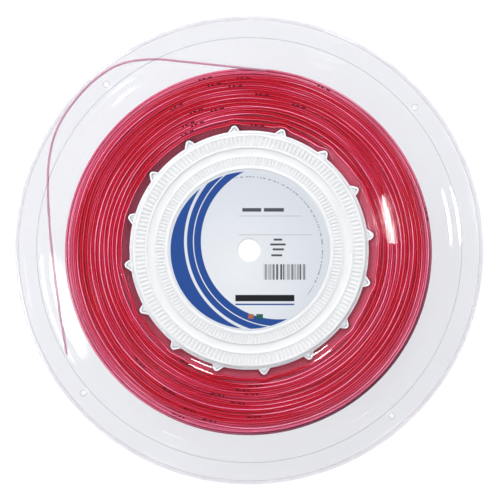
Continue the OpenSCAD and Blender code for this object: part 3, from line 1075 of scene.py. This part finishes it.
# %% Label
LABEL_R = 46.2 * MM
LABEL_HOLE_R = 6.75 * MM
LABEL_FLOOR = CAP_TOP - 0.4 * MM
LABEL_TOP = LABEL_FLOOR + 0.2 * MM
LABEL_SEGMENTS = 192
label = turned("round_label", rounded([
    (LABEL_HOLE_R, LABEL_FLOOR, 0.02 * MM), (LABEL_R, LABEL_FLOOR, 0.02 * MM),
    (LABEL_R, LABEL_TOP, 0.08 * MM), (LABEL_HOLE_R, LABEL_TOP, 0.08 * MM),
], steps=2), LABEL_SEGMENTS, label_print)
label.data.set_sharp_from_angle(angle=math.radians(30))
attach(label, "root")
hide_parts("front_label")

# %% [markdown]
# The reel lies on a white table under soft light. Big lights fill the scene and aren't mirrored,
# for in the flat flange they would blot out the string for whoever looks from the other side.
# Small bright ones stand higher, and each draws its own streak or arc on the clear steps of the
# case, or on the web.

# %% Lights


def soft_light(name, place, size, power, mirrored):
    """A light that faces the reel; unless mirrored, it throws light and no image."""
    data = bpy.data.lights.new(name, "AREA")
    # An oval light draws a streak with tapered ends.
    data.shape = "ELLIPSE" if mirrored else "RECTANGLE"
    data.size, data.size_y = size
    data.energy = power
    lamp = put(name, data)
    lamp.location = place
    # Its first side runs round the reel and its second side points away from the reel's axis.
    backward = (Vector(place) - Vector((0, 0, MIDDLE))).normalized()
    round_side = Vector((0, 0, 1)).cross(backward).normalized()
    turned_so = Matrix((round_side, backward.cross(round_side), backward)).transposed()
    lamp.rotation_euler = turned_so.to_euler()
    lamp.visible_glossy = mirrored
    lamp.visible_transmission = mirrored
    print(name, power, "W")


FILL_LIGHTS = [
    ("upper_left_light", (-1.2, 1.38, 1.28), (0.7, 0.6), 23),
    ("top_light", (0.4, 1.6, 1.1), (0.9, 0.5), 15.5),
    ("right_light", (1.25, 0.2, 0.98), (0.5, 0.6), 4),
    ("lower_right_light", (0.7, -1.2, 0.7), (0.8, 0.6), 5),
]
for name, place, size, power in FILL_LIGHTS:
    soft_light(name, place, size, power, mirrored=False)

# The others are set by their angle round the reel and their tilt from straight overhead. A step of
# the front flange mirrors a light from across the reel, and one of the rear flange a light on its
# own side. The two thin cards near the lens are mirrored by the flat web.
HIGH_LIGHT_DISTANCE = 1.6
HIGH_LIGHTS = [
    ("left_strip", 197, 34, (0.5, 0.16), 3.0),
    ("left_spot", 189.5, 16.7, (0.12, 0.1), 0.9),
    ("high_top", 68, 24.6, (0.14, 0.14), 1.0),
    ("high_upper_left", 125, 24.6, (0.11, 0.14), 0.8),
    ("low_upper_left", 129.5, 34, (0.11, 0.1), 0.6),
    ("left_card", 197, 8.3, (0.137, 0.015), 0.012),
    ("right_card", 12.5, 6.2, (0.06, 0.003), 0.03),
]
for name, round_reel, tilt, size, power in HIGH_LIGHTS:
    angle, tilt = math.radians(round_reel), math.radians(tilt)
    out = HIGH_LIGHT_DISTANCE * math.sin(tilt)
    up = HIGH_LIGHT_DISTANCE * math.cos(tilt)
    place = (out * math.cos(angle), out * math.sin(angle), up)
    soft_light(name, place, size, power, mirrored=True)

# %% [markdown]
# The table looks white to the camera and through the clear plastic, and it keeps a faint shadow.

# %% Table
TABLE_HALF = 3.0
TABLE_TOP = -0.05 * MM  # a hair under the clear rim, so that light gets out between them
TABLE_SHIFT = 0.6  # off centre, so that its face's diagonal doesn't run under the reel
WINDING_SHADE = (86 * MM, 13 * MM)  # the shade's middle radius and half its width

table_mesh = bpy.data.meshes.new("table")
table_corners = [
    (x * TABLE_HALF + TABLE_SHIFT, y * TABLE_HALF, TABLE_TOP)
    for x, y in ((-1, -1), (1, -1), (1, 1), (-1, 1))
]
table_mesh.from_pydata(table_corners, [], [(0, 1, 2, 3)])
table = put("table", table_mesh)

white_table, tree = new_material("white_table")
calc = partial(maths, tree)
rays = add(tree, "ShaderNodeLightPath").outputs
_, axes, _, from_axis = reel_place(tree)
# Under the winding and the hub's wall the table lies in the reel's own shade, and doesn't glow.
under_winding = calc("COMPARE", from_axis, *WINDING_SHADE)
in_open = calc("SUBTRACT", 0.85, under_winding, clamp=True)
seen = calc("MAXIMUM", rays["Is Camera Ray"], rays["Is Transmission Ray"])
seen_share = calc("MULTIPLY", calc("MAXIMUM", seen, rays["Is Glossy Ray"]), in_open)
# Its glow also lights the rear side that lies over it, as painted bounce light.
lights_reel = calc("GREATER_THAN", rays["Diffuse Depth"], 0.5)
share = add(tree, "ShaderNodeMix", Factor=lights_reel, A=seen_share, B=0.9)
# Seen through the case, the table's glow has painted shade: it is a little darker towards the
# lower right, away from the light.
to_lower_right = calc("SUBTRACT", axes["X"], axes["Y"])
painted_fall_off = ramp(tree, to_lower_right, -0.17, 0.17, 1.14, 1.03)
whiteness = calc("MULTIPLY_ADD", rays["Is Camera Ray"], 0.2, painted_fall_off)
matt = add(tree, "ShaderNodeBsdfDiffuse", Color=colour("#F0F0F0"))
bright = add(tree, "ShaderNodeEmission", Color=colour("#FDFCFF"), Strength=whiteness)
table_top = over(tree, share.outputs[0], matt, bright)
# Seen from below it isn't there, so the reel's rear side can be looked at too.
from_below = add(tree, "ShaderNodeNewGeometry").outputs["Backfacing"]
gone = add(tree, "ShaderNodeBsdfTransparent")
surface(tree, over(tree, from_below, table_top, gone))
table_mesh.materials.append(white_table)

# %% [markdown]
# The room is bright along its walls and dark overhead, so the flat clear flange mirrors nothing
# into the lens and the string behind it keeps its full colour. It is brighter at the upper left.

# %% Room
world = bpy.data.worlds.new("studio")
bpy.context.scene.world = world
world.use_nodes = True
tree = world.node_tree
tree.nodes.clear()
calc = partial(maths, tree)
rays = add(tree, "ShaderNodeLightPath").outputs
direction = add(tree, "ShaderNodeTexCoord").outputs["Generated"]
ways = parts(tree, direction)
walls = ramp(tree, ways["Z"], 0.2, 0.8, 0.6, 0.08)
side_share = ramp(tree, calc("SUBTRACT", ways["X"], ways["Y"]), -1.2, 1.2, 1.4, 0.75)
strength = calc("MULTIPLY", walls, side_share)
room = add(tree, "ShaderNodeBackground", Color=colour("#F4F5F7"), Strength=strength)
# The backdrop is white to the eye, also where it is looked at straight through the clear case.
backdrop = add(tree, "ShaderNodeBackground", Color=colour("#FFFFFF"), Strength=1.0)
turned_back = calc("ADD", rays["Diffuse Depth"], rays["Glossy Depth"])
straight_on = calc("LESS_THAN", turned_back, 0.5)
seen_through = calc("MULTIPLY", rays["Is Transmission Ray"], straight_on)
looked_at = calc("MAXIMUM", rays["Is Camera Ray"], seen_through)
sky = over(tree, looked_at, room, backdrop)
add(tree, "ShaderNodeOutputWorld", Surface=sky.outputs[0])
bpy.context.scene.view_settings.view_transform = "Standard"
